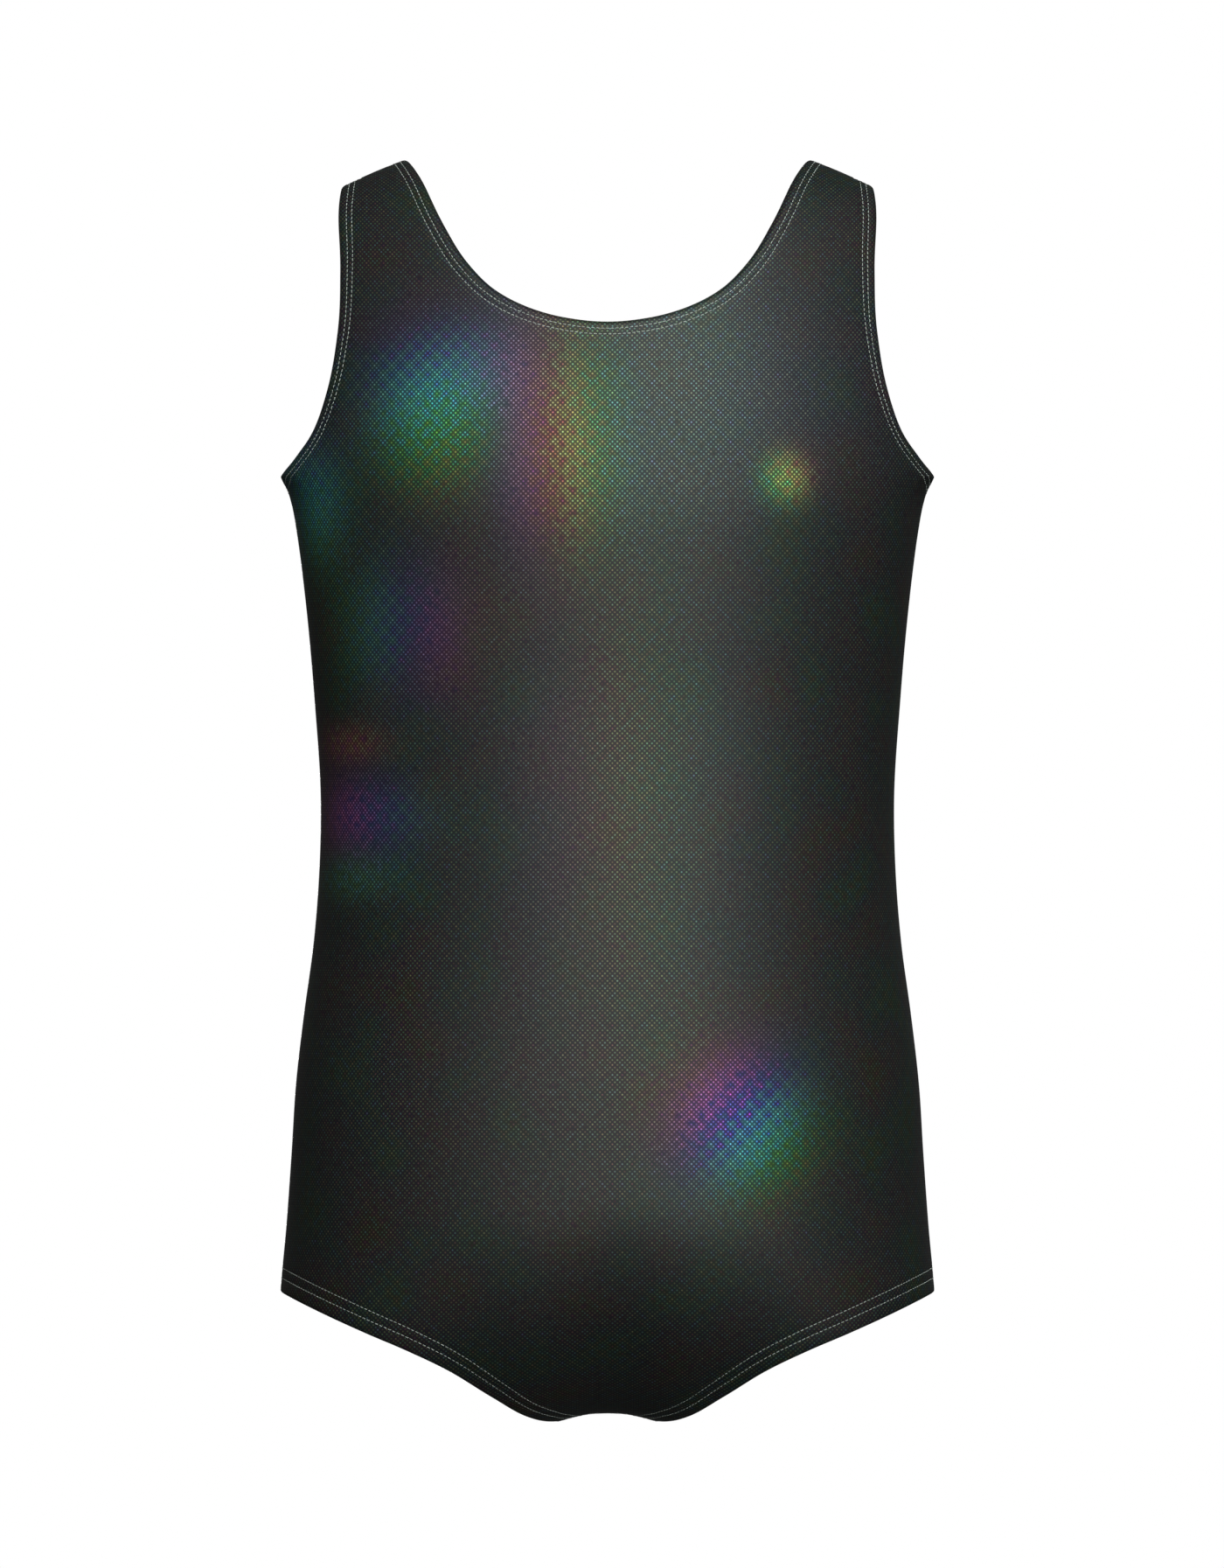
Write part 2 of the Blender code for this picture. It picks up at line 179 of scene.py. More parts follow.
SAME = 1e-6  # points of a path closer than this are one
ROUNDS = 40  # repeats in which the flared width's share settles
TABLE_ACROSS, TABLE_LEVELS, TABLE_UP = 90, 120, 360  # places in the tables of lengths


def smooth(rows, at):
    """A smooth curve through rows of place and value, read at the given places."""
    places, values = np.array(sorted(rows), float).T
    slopes = np.gradient(values, places)
    k = np.clip(np.searchsorted(places, at) - 1, 0, len(places) - 2)
    span = places[k + 1] - places[k]
    t = np.clip((at - places[k]) / span, 0.0, 1.0)
    rise = values[k + 1] - values[k]
    cubic = t * t * (3 - 2 * t)
    return (
        values[k]
        + rise * cubic
        + span * slopes[k] * t * (1 - t) ** 2
        - span * slopes[k + 1] * t * t * (1 - t)
    )


def half_width(z):
    """Half the width of the level section at this height."""
    return smooth([(row[0], row[1]) for row in SECTIONS], z)


def depth(side, z):
    """How far the level section reaches to the front or the back at this height."""
    column = {"front": 2, "back": 3}[side]
    return smooth([(row[0], row[column]) for row in SECTIONS], z)


def flare(z):
    """How far the side seam stands out round the armpit."""
    below = np.exp(np.minimum(z - ARMPIT_HEIGHT, 0.0) / FLARE_BELOW)
    above = np.exp(-np.maximum(z - ARMPIT_HEIGHT, 0.0) / FLARE_ABOVE)
    return FLARE * below * above


def width_share(x, z):
    """The share of the half width at which a point lies: 0 on the centre line, 1 on the side seam."""
    share = x / half_width(z)
    for _ in range(ROUNDS):
        share = (x - flare(z) * share**FLARE_POWER) / half_width(z)
    return np.clip(share, 0.0, 1.0)


def crest(share):
    """Height of the shoulder line."""
    return CREST_TOP - CREST_DROP * (half_width(0.0) * share) ** 2


def leg_turn(side, share):
    """How far the leg line has come round from the crotch seam: 0 there, a right angle at the hip."""
    swing = np.clip((HIP_WIDTH * share - CROTCH_WIDTH) / (HIP_WIDTH - CROTCH_WIDTH), 0.0, 1.0)
    return np.pi / 2 * swing ** LEG_POWER[side]


def lower_edge(share):
    """Height of the garment's lower outline as seen from the front."""
    mirrored = [(-row[0], row[1]) for row in LOWER_EDGE[1:3]]
    return smooth(mirrored + list(LOWER_EDGE), HIP_WIDTH * share)


def floor(side, share):
    """Height of the lowest level that the cloth would reach if no leg were cut out."""
    turn = leg_turn(side, share)
    return lower_edge(share) - BOTTOM_ROUND[side] * (1 - np.cos(turn))


def straight_part(side, share):
    """Top and bottom of the stretch between the shoulders' and the crotch's rounding."""
    return crest(share) - TOP_ROUND[side], floor(side, share) + BOTTOM_ROUND[side]


def across_at(share):
    """Place across the laid-out cloth for a share of the half width."""
    return ACROSS_SCALE * np.arcsin(np.clip(share ** (ROUNDNESS / 2), 0.0, 1.0))


def to_plane(side, x, z):
    """The point of the laid-out cloth, across and up, that lies at this half width and height."""
    share = width_share(x, z)
    across = across_at(share)
    top, bottom = straight_part(side, share)
    over = np.arccos(np.clip(1 - (crest(share) - z) / TOP_ROUND[side], 0.0, 1.0))
    under = np.arccos(np.clip(1 - (z - floor(side, share)) / BOTTOM_ROUND[side], 0.0, 1.0))
    up = -OVER_SCALE * over - np.clip(top - z, 0.0, top - bottom) - OVER_SCALE * (np.pi / 2 - under)
    return np.stack([across, up], axis=-1)


def on_shoulder(x):
    """The point of the laid-out cloth on the shoulder seam at this half width."""
    share = width_share(x, crest(x / half_width(0.0)))
    return np.stack([across_at(share), 0.0 * share], axis=-1)


def on_side(side, z):
    """The point on the side seam at this height."""
    place = to_plane(side, half_width(z) + flare(z), z)
    return np.stack([0.0 * z + ACROSS_SCALE * np.pi / 2, place[..., 1]], axis=-1)


def on_crotch(side, x):
    """The point on the crotch seam at this half width."""
    share = x / HIP_WIDTH
    top, bottom = straight_part(side, share)
    return np.stack([across_at(share), -OVER_SCALE * np.pi - (top - bottom)], axis=-1)


def surface(side, plane, flared=1.0):
    """Where a point of the laid-out cloth lies in space, with or without the stiff armpit's flare."""
    turn = np.clip(plane[..., 0] / ACROSS_SCALE, 0.0, np.pi / 2)
    share = np.sin(turn) ** (2 / ROUNDNESS)
    top, bottom = straight_part(side, share)
    down = np.maximum(-plane[..., 1], 0.0)
    round_length = OVER_SCALE * np.pi / 2
    over = np.clip(down / OVER_SCALE, 0.0, np.pi / 2)
    level = np.clip(down - round_length, 0.0, top - bottom)
    under = np.pi / 2 - np.clip((down - round_length - (top - bottom)) / OVER_SCALE, 0.0, np.pi / 2)
    z = crest(share) - TOP_ROUND[side] * (1 - np.cos(over)) - level - BOTTOM_ROUND[side] * np.cos(under)
    x = share * half_width(z) + flared * flare(z) * share**FLARE_POWER
    y = depth(side, z) * np.cos(turn) ** (2 / ROUNDNESS) * np.sin(over) * np.sin(under)
    return np.stack([x, OUTWARD[side] * y, z], axis=-1)


def slopes_at(side, plane, flared=1.0):
    """The surface's points there, and its directions across and up, each measured into the cloth."""
    here = surface(side, plane, flared)
    step_x = np.where(plane[:, 0] < 2 * STEP, STEP, -STEP)
    step_y = np.where(plane[:, 1] > -OVER_SCALE * np.pi, -STEP, STEP)
    beside = surface(side, plane + np.stack([step_x, 0 * step_x], -1), flared)
    above = surface(side, plane + np.stack([0 * step_y, step_y], -1), flared)
    across, up = (beside - here) / step_x[:, None], (above - here) / step_y[:, None]
    return here, across, up


def normals(side, plane):
    """Outward directions at the plane's points, square to the form without the armpit's flare."""
    here, across, up = slopes_at(side, plane, flared=0.0)
    normal = -OUTWARD[side] * np.cross(across, up)
    normal[here[:, 0] < STEP, 0] = 0.0
    normal[abs(here[:, 1]) < STEP / 10, 1] = 0.0
    return normal / np.linalg.norm(normal, axis=1, keepdims=True)


def lengths_along(points):
    """The length from the first point to each of a line's points."""
    steps = np.linalg.norm(np.diff(points, axis=0), axis=1)
    return np.concatenate([[0.0], np.cumsum(steps)])


def resample(side, plane, step=EDGE_STEP):
    """The same line with points evenly apart on the cloth."""
    lengths = lengths_along(surface(side, plane))
    count = max(1, round(lengths[-1] / step))
    places = np.linspace(0.0, lengths[-1], count + 1)
    return np.stack([np.interp(places, lengths, plane[:, k]) for k in (0, 1)], axis=-1)


def drawn_line(side, rows, ends, mirrors):
    """A smooth line over the laid-out cloth through rows of half width and height.

    It ends square to the seams, because a mirror image of its next row lies beyond each end.
    """
    rows = np.array(rows, float)
    knots = to_plane(side, rows[:, 0], rows[:, 1])
    knots[0], knots[-1] = ends
    before, after = (knots[k] * scale + shift for k, (scale, shift) in zip((1, -2), mirrors))
    knots = np.concatenate([[before], knots, [after]])
    place = lengths_along(knots)
    fine = np.linspace(place[1], place[-2], FINE)
    return np.stack([smooth(list(zip(place, knots[:, k])), fine) for k in (0, 1)], axis=-1)


def edge_line(side, name):
    """The cloth's edge at one opening, with the cloth on its right."""
    beyond_centre = ((-1.0, 1.0), (0.0, 0.0))
    beyond_shoulder = ((1.0, -1.0), (0.0, 0.0))
    beyond_side = ((-1.0, 1.0), (ACROSS_SCALE * np.pi, 0.0))
    if name == "neck":
        ends = to_plane(side, 0.0, NECK_LINE[side][0][1]), on_shoulder(STRAP_WIDTH_IN)
        line = drawn_line(side, NECK_LINE[side], ends, (beyond_centre, beyond_shoulder))
    elif name == "armhole":
        ends = on_shoulder(STRAP_WIDTH_OUT), on_side(side, ARMPIT_HEIGHT)
        line = drawn_line(side, ARMHOLE_LINE, ends, (beyond_shoulder, beyond_side))
    else:
        crotch_turn = across_at(CROTCH_WIDTH / HIP_WIDTH) / ACROSS_SCALE
        leg_x = HIP_WIDTH * np.sin(np.linspace(np.pi / 2, crotch_turn, FINE)) ** (2 / ROUNDNESS)
        line = to_plane(side, leg_x, lower_edge(leg_x / HIP_WIDTH))
        line[0], line[-1] = on_side(side, HIP_HEIGHT), on_crotch(side, CROTCH_WIDTH)
    return resample(side, line)


def edge_ends(side, name, line, inset):
    """The end points of a line inset from an opening's edge: both on seams, or on the centre line."""
    if name == "neck":
        _, _, up = slopes_at(side, line[:1])
        return line[0] - [0.0, inset / np.linalg.norm(up)], on_shoulder(STRAP_WIDTH_IN + inset)
    if name == "armhole":
        return on_shoulder(STRAP_WIDTH_OUT - inset), on_side(side, ARMPIT_HEIGHT - inset)
    return on_side(side, HIP_HEIGHT + inset), on_crotch(side, CROTCH_WIDTH - inset)


def inset_line(side, name, line, inset):
    """The line that runs beside an opening's edge, this far into the cloth."""
    here, across, up = slopes_at(side, line)
    along = np.gradient(here, axis=0)
    along /= np.linalg.norm(along, axis=1, keepdims=True)
    into = -OUTWARD[side] * np.cross(along, normals(side, line)) * inset
    aa, au, uu = (across * across).sum(1), (across * up).sum(1), (up * up).sum(1)
    ia, iu = (into * across).sum(1), (into * up).sum(1)
    spread = aa * uu - au * au
    spread[[0, -1]] = 1.0
    moved = line + np.stack([ia * uu - iu * au, iu * aa - ia * au], -1) / spread[:, None]
    moved[0], moved[-1] = edge_ends(side, name, line, inset)
    return moved


def roll(name, inset):
    """Depth below the smooth form beside an edge: the edge rolls in, and the rows dent it."""
    radius, first, second, _ = HEMS[name]
    drop = radius - np.sqrt(radius**2 - np.clip(radius - inset, 0.0, radius) ** 2)
    dents = sum(ROW_DENT * np.exp(-(((inset - row) / ROW_SPREAD) ** 2)) for row in (first, second))
    return drop + dents


def hem_insets(name):
    """The distances from the edge at which the panel has a line of points."""
    radius, first, second, width = HEMS[name]
    rolled = [radius * (1 - np.cos(turn)) for turn in np.linspace(0, np.pi / 2, 6)]
    rows = [place + shift for place in (first, second) for shift in (-BESIDE_ROW, 0.0, BESIDE_ROW)]
    between = [(radius + first - BESIDE_ROW) / 2, (first + second) / 2, width + BEYOND_HEM]
    return sorted(rolled + rows + between)


def inside(points, outline):
    """Which points lie inside a closed outline, by counting the edges that a level line crosses."""
    x, y = points[:, :1], points[:, 1:]
    x0, y0 = outline.T
    x1, y1 = np.roll(outline, -1, axis=0).T
    crosses = (y0 > y) != (y1 > y)
    at = x0 + (y - y0) / np.where(y1 == y0, 1.0, y1 - y0) * (x1 - x0)
    return (crosses & (x < at)).sum(axis=1) % 2 == 1


def nearest(points, line):
    """Each point's distance from a line."""
    start, along = line[:-1], np.diff(line, axis=0)
    offset = points[:, None] - start
    share = np.clip((offset * along).sum(-1) / (along**2).sum(-1), 0.0, 1.0)
    return np.linalg.norm(offset - share[..., None] * along, axis=-1).min(axis=1)


def seam_rows(side, inset):
    """Lines this far beside each seam, over the stretch that no hem takes."""
    clear = {name: hem_insets(name)[-1] + 1.0 for name in HEMS}
    shoulder_x = np.linspace(STRAP_WIDTH_IN + clear["neck"], STRAP_WIDTH_OUT - clear["armhole"], FINE)
    side_z = np.linspace(ARMPIT_HEIGHT - clear["armhole"], HIP_HEIGHT + clear["leg"], FINE)
    crotch_x = np.linspace(CROTCH_WIDTH - clear["leg"], 0.0, FINE)
    return (
        resample(side, on_shoulder(shoulder_x)) - [0.0, inset],
        resample(side, on_side(side, side_z)) - [inset, 0.0],
        resample(side, on_crotch(side, crotch_x)) + [0.0, inset],
    )


def square_grid(outline):
    """Points over the outline's box in straight rows, the first column on the centre line."""
    low, high = outline.min(axis=0), outline.max(axis=0)
    across = np.arange(0.0, high[0], GRID)
    up = np.arange(high[1], low[1], -GRID)
    return np.stack(np.meshgrid(across, up), axis=-1).reshape(-1, 2)


def half_panel(side):
    """Plane points and triangles of the half panel at +X, and each point's depth below the form."""
    edges = {name: edge_line(side, name) for name in HEMS}
    shoulder = resample(side, on_shoulder(np.linspace(STRAP_WIDTH_IN, STRAP_WIDTH_OUT, FINE)))
    side_seam = resample(side, on_side(side, np.linspace(ARMPIT_HEIGHT, HIP_HEIGHT, FINE)))
    crotch = resample(side, on_crotch(side, np.linspace(CROTCH_WIDTH, 0.0, FINE)))
    centre = resample(side, np.linspace(crotch[-1], edges["neck"][0], FINE))
    ring = [edges["neck"], shoulder, edges["armhole"], side_seam, edges["leg"], crotch, centre]
    outline = np.concatenate([part[:-1] for part in ring])
    points, drops, bonds = [], [], []

    def add_line(line, drop, closed=False):
        start, count = len(points), len(line)
        steps = count if closed else count - 1
        bonds.extend((start + k, start + (k + 1) % count) for k in range(steps))
        points.extend(line)
        drops.extend([drop] * count if np.isscalar(drop) else drop)

    add_line(outline, outline_drops(ring), closed=True)
    lines = [outline]
    for inset, dent in zip(SEAM_ROWS[1:], SEAM_DENTS[1:]):
        for line in seam_rows(side, inset):
            add_line(line, dent)
            lines.append(line)
    for name, edge in edges.items():
        for inset in hem_insets(name)[1:]:
            add_line(inset_line(side, name, edge, inset), roll(name, inset))
    grid = square_grid(outline)
    grid = grid[inside(grid, outline)]
    for name, edge in edges.items():
        last = inset_line(side, name, edge, hem_insets(name)[-1])
        grid = grid[~inside(grid, np.concatenate([edge, last[::-1]]))]
        lines.append(last)
    for line in lines:
        grid = grid[nearest(grid, line) > GRID * CLEARANCE]
    points.extend(grid)
    drops.extend([0.0] * len(grid))
    flat, _, faces, sources, _, _ = delaunay_2d_cdt([tuple(p) for p in points], bonds, [], 1, MERGE)
    plane = np.array([tuple(point) for point in flat])
    drop = np.array([max((drops[k] for k in source), default=0.0) for source in sources])
    return plane, np.array([tuple(face) for face in faces]), drop


def outline_drops(ring):
    """Each outline point's depth below the smooth form. Seams follow the hems that cross them."""
    neck, shoulder, armhole, side_seam, leg, crotch, centre = (len(part) - 1 for part in ring)
    shoulder_x = np.linspace(0, STRAP_WIDTH_OUT - STRAP_WIDTH_IN, shoulder + 1)[:-1]
    side_down = np.linspace(0, ARMPIT_HEIGHT - HIP_HEIGHT, side_seam + 1)[:-1]
    crotch_in = np.linspace(0, CROTCH_WIDTH, crotch + 1)[:-1]
    width = STRAP_WIDTH_OUT - STRAP_WIDTH_IN
    full_down = ARMPIT_HEIGHT - HIP_HEIGHT
    dent = SEAM_DENTS[0]
    drops = np.concatenate([
        np.full(neck, roll("neck", 0.0)),
        np.maximum(roll("neck", shoulder_x), roll("armhole", width - shoulder_x)) + dent,
        np.full(armhole, roll("armhole", 0.0)),
        np.maximum(roll("armhole", side_down), roll("leg", full_down - side_down)) + dent,
        np.full(leg, roll("leg", 0.0)),
        roll("leg", crotch_in) + dent,
        np.zeros(centre),
    ])
    drops[-centre] = dent
    return drops


def read_table(table, row, column):
    """A table's values between its rows and columns."""
    # just short of the last ones, so that each place has a next row and column
    row = np.clip(row, 0, table.shape[0] - 1.001)
    column = np.clip(column, 0, table.shape[1] - 1.001)
    i, j = row.astype(int), column.astype(int)
    s, t = row - i, column - j
    near = table[i, j] * (1 - s) + table[i + 1, j] * s
    far = table[i, j + 1] * (1 - s) + table[i + 1, j + 1] * s
    return near * (1 - t) + far * t


def section_lengths(side, shares, levels):
    """Lengths round one side's level sections, from the centre line to each share of the half width."""
    share, z = np.meshgrid(shares, levels)
    x = share * half_width(z) + flare(z) * share**FLARE_POWER
    over = np.arccos(np.clip(1 - (crest(share) - z) / TOP_ROUND[side], 0.0, 1.0))
    under = np.arccos(np.clip(1 - (z - floor(side, share)) / BOTTOM_ROUND[side], 0.0, 1.0))
    bulge = np.clip(1 - share**ROUNDNESS, 0.0, 1.0) ** (1 / ROUNDNESS)
    y = depth(side, z) * bulge * np.sin(over) * np.sin(under)
    steps = np.hypot(np.diff(x, axis=1), np.diff(y, axis=1))
    return np.pad(np.cumsum(steps, axis=1), ((0, 0), (1, 0)))


@cache
def length_tables(side):
    """One side's lengths along the cloth, level and up, as tables, with each table's own places."""
    across = np.linspace(0.0, ACROSS_SCALE * np.pi / 2, TABLE_ACROSS)
    shares = np.sin(across / ACROSS_SCALE) ** (2 / ROUNDNESS)
    levels = np.linspace(LEVEL_LOW, LEVEL_HIGH, TABLE_LEVELS)
    top, bottom = straight_part(side, shares)
    up = np.linspace(-OVER_SCALE * np.pi - (top - bottom).max(), 0.0, TABLE_UP)
    points = surface(side, np.stack(np.meshgrid(across, up), axis=-1))
    steps = np.linalg.norm(np.diff(points, axis=0), axis=-1)
    heights = np.pad(np.cumsum(steps, axis=0), ((1, 0), (0, 0)))
    for column, share in enumerate(shares):
        waist = to_plane(side, share * half_width(WAIST), WAIST)[1]
        heights[:, column] -= np.interp(waist, up, heights[:, column])
    return across, levels, up, section_lengths(side, shares, levels), heights


def cloth_lengths(side, plane):
    """Each point's real distances on the cloth: level from the centre line, up from the waist."""
    across, levels, up, level_lengths, heights = length_tables(side)
    column = plane[:, 0] / across[1]
    z = np.clip(surface(side, plane)[:, 2], LEVEL_LOW, LEVEL_HIGH)
    level = (z - levels[0]) / (levels[1] - levels[0])
    row = (plane[:, 1] - up[0]) / (up[1] - up[0])
    return np.stack(
        [read_table(level_lengths, level, column), read_table(heights, row, column)],
        axis=-1,
    )


def sharpen_border(mesh):
    """Keeps the shading of the cloth's faces apart from that of its cut edge."""
    net = bmesh.new()
    net.from_mesh(mesh)
    for edge in net.edges:
        edge.smooth = not edge.is_boundary
    net.to_mesh(mesh)
    net.free()


def new_object(name, points, faces, materials, lengths):
    """A smooth mesh object from points in millimetres, with the cloth's real lengths as its map."""
    mesh = bpy.data.meshes.new(name)
    mesh.from_pydata((np.asarray(points) * MM).tolist(), [], np.asarray(faces).tolist())
    mesh.shade_smooth()
    sharpen_border(mesh)
    for finish in materials:
        mesh.materials.append(finish)
    layer = mesh.uv_layers.new(name="cloth")
    corners = np.zeros(len(mesh.loops), int)
    mesh.loops.foreach_get("vertex_index", corners)
    layer.data.foreach_set("uv", (lengths[corners] * MM).ravel())
    piece = bpy.data.objects.new(name, mesh)
    bpy.context.scene.collection.objects.link(piece)
    return piece


def add_wall(piece, thickness, inner_material=0):
    """Gives a piece its thickness, inward from its outer face."""
    wall = piece.modifiers.new("Solidify", "SOLIDIFY")
    wall.thickness = thickness * MM
    wall.offset = -1.0
    wall.material_offset = inner_material


def both_halves(points, faces, lengths, on_centre):
    """The half at +X and its mirror image, joined along the centre line."""
    count = len(points)
    index = count + np.arange(count)
    index[on_centre] = np.where(on_centre)[0]
    mirrored = points * [-1.0, 1.0, 1.0]
    all_points = np.concatenate([points, mirrored])
    all_lengths = np.concatenate([lengths, lengths * [-1.0, 1.0]])
    all_faces = np.concatenate([faces, index[faces][:, ::-1]])
    used, new_faces = np.unique(all_faces, return_inverse=True)
    return all_points[used], new_faces.reshape(-1, faces.shape[1]), all_lengths[used]


def make_panel(side, materials):
    """A whole panel of cloth, its edges rolled in at the openings."""
    plane, faces, drop = half_panel(side)
    lengths = cloth_lengths(side, plane)
    points = surface(side, plane) - normals(side, plane) * drop[:, None]
    on_centre = plane[:, 0] < STEP
    points[on_centre, 0] = 0.0
    if side == "back":
        faces = faces[:, ::-1]
    points, faces, lengths = both_halves(points, faces, lengths, on_centre)
    piece = new_object(f"{side}_cloth", points, faces, materials, lengths)
    add_wall(piece, CLOTH, inner_material=1)
    return piece


def hem_profile(name):
    """The turned edge's section, lip to raw edge: distance from the edge and depth below the form."""
    radius, first, second, width = HEMS[name]
    fold = HEM_DEPTH / 2
    lip = [(radius * share, roll(name, radius * share) - LIP_CLEAR) for share in LIP]
    turned = [
        (fold * (1 - np.cos(turn)), radius + fold * np.sin(turn))
        for turn in np.linspace(0, np.pi, 7)
    ]
    inner = max(radius - HEM_DEPTH, 0.1)
    arc = [
        (radius - inner * np.cos(turn), radius - inner * np.sin(turn))
        for turn in np.linspace(0, np.pi / 2, 4)[1:]
    ]
    sewn = [(row, HEM_DEPTH + ROW_DENT) for row in (first, second)]
    return lip + turned + arc + sewn + [(width, HEM_DEPTH)]


def opening_ring(name, insets_and_drops):
    """Points and cloth lengths round an opening, the front's stretch first, for each row of a section."""
    rows = []
    for inset, drop in insets_and_drops:
        stretches = []
        for side in OUTWARD:
            edge = edge_line(side, name)
            plane = inset_line(side, name, edge, inset) if inset > 0 else edge
            points = surface(side, plane) - normals(side, plane) * drop
            lengths = cloth_lengths(side, plane)
            if name == "neck":
                points[0, 0] = 0.0
            stretches.append(np.concatenate([points, lengths], axis=1))
        front, back = stretches[0], stretches[1][::-1]
        rows.append(np.concatenate([front, back[1:] if name == "neck" else back[1:-1]]))
    return np.array(rows)


def make_hem(name, half, materials):
    """The turned edge all round one opening."""
    rows = opening_ring(name, hem_profile(name))
    count, length = rows.shape[:2]
    closed = name != "neck"
    around = np.arange(length if closed else length - 1)
    after = (around + 1) % length
    strip = np.stack([around, after, length + after, length + around], axis=1)
    faces = np.concatenate([strip + row * length for row in range(count - 1)])
    points, lengths = rows.reshape(-1, 5)[:, :3], rows.reshape(-1, 5)[:, 3:]
    title = f"{name}_hem_turned"
    if name == "neck":
        points, faces, lengths = both_halves(points, faces, lengths, points[:, 0] == 0.0)
    else:
        title += f"_{half}"
        if half == "right":
            points = points * [-1.0, 1.0, 1.0]
            faces = faces[:, ::-1]
    piece = new_object(title, points, faces, materials, lengths)
    add_wall(piece, CLOTH * TURNED_WALL)
    return piece


def row_path(name, inset, drop):
    """A closed path round an opening, in space, with the outward direction at each point."""
    path, out = [], []
    for side in OUTWARD:
        edge = edge_line(side, name)
        plane = inset_line(side, name, edge, inset)
        points, normal = surface(side, plane), normals(side, plane)
        points = points - normal * drop
        flip = -1 if side == "back" else 1
        path.append(points[::flip])
        out.append(normal[::flip])
    if name == "neck":
        mirror = np.array([-1.0, 1.0, 1.0])
        path += [(part * mirror)[::-1] for part in path[::-1]]
        out += [(part * mirror)[::-1] for part in out[::-1]]
    path, out = np.concatenate(path), np.concatenate(out)
    keep = np.linalg.norm(np.roll(path, -1, axis=0) - path, axis=1) > SAME
    return path[keep], out[keep]


def places_along(path, out, pitch, shift=0.0):
    """Points a pitch apart round a closed path, with the directions along it and outward."""
    closed = np.concatenate([path, path[:1]])
    lengths = lengths_along(closed)
    count = int(round(lengths[-1] / pitch))
    places = (np.arange(count) + shift) * lengths[-1] / count
    next_places = (places + AHEAD) % lengths[-1]
    at = np.stack([np.interp(places, lengths, closed[:, k]) for k in range(3)], -1)
    ahead = np.stack([np.interp(next_places, lengths, closed[:, k]) for k in range(3)], -1)
    closed_out = np.concatenate([out, out[:1]])
    normal = np.stack([np.interp(places, lengths, closed_out[:, k]) for k in range(3)], -1)
    along = ahead - at
    along /= np.linalg.norm(along, axis=1, keepdims=True)
    normal -= (normal * along).sum(1, keepdims=True) * along
    normal /= np.linalg.norm(normal, axis=1, keepdims=True)
    return at, along, normal


def stitch_shape():
    """One stitch: a short rounded bar along X, as points and faces."""
    points, faces = [], []
    for station, width, sink in BAR:
        for k in range(BAR_SIDES):
            turn = 2 * np.pi * k / BAR_SIDES
            across = THREAD / 2 * width * np.cos(turn)
            lift = THREAD / 2 * BAR_FLATNESS * width * np.sin(turn) + THREAD * sink
            points.append(((station - 0.5) * STITCH_LENGTH, across, lift))
    for row in range(0, (len(BAR) - 1) * BAR_SIDES, BAR_SIDES):
        for k in range(BAR_SIDES):
            after = (k + 1) % BAR_SIDES
            faces.append((row + k, row + after, row + BAR_SIDES + after, row + BAR_SIDES + k))
    first, last = len(points), len(points) + 1
    for station, _, sink in (BAR[0], BAR[-1]):
        points.append(((station - 0.5) * STITCH_LENGTH, 0, THREAD * sink))
    top = (len(BAR) - 1) * BAR_SIDES
    for k in range(BAR_SIDES):
        after = (k + 1) % BAR_SIDES
        faces.append((first, after, k))
        faces.append((last, top + k, top + after))
    return np.array(points), faces


def make_stitches(name, half, finish):
    """Two rows of stitches on the outside of a hem."""
    _, first, second, _ = HEMS[name]
    shape, shape_faces = stitch_shape()
    points, faces = [], []
    for number, row in enumerate((first, second)):
        path, out = row_path(name, row, ROW_DENT - THREAD * 0.25)
        at, along, normal = places_along(path, out, STITCH, shift=0.5 * number)
        side = np.cross(normal, along)
        placed = (
            at[:, None]
            + along[:, None] * shape[None, :, :1]
            + side[:, None] * shape[None, :, 1:2]
            + normal[:, None] * shape[None, :, 2:]
        )
        for stitch in placed:
            start = len(points)
            points.extend(stitch)
            faces.extend(tuple(start + k for k in face) for face in shape_faces)
    points = np.array(points)
    title = f"{name}_stitches"
    if name != "neck":
        title += f"_{half}"
    if half == "right":
        points = points * [-1.0, 1.0, 1.0]
        faces = [face[::-1] for face in faces]
    mesh = bpy.data.meshes.new(title)
    mesh.from_pydata((points * MM).tolist(), [], faces)
    mesh.shade_smooth()
    mesh.materials.append(finish)
    piece = bpy.data.objects.new(title, mesh)
    bpy.context.scene.collection.objects.link(piece)
    return piece


# Materials


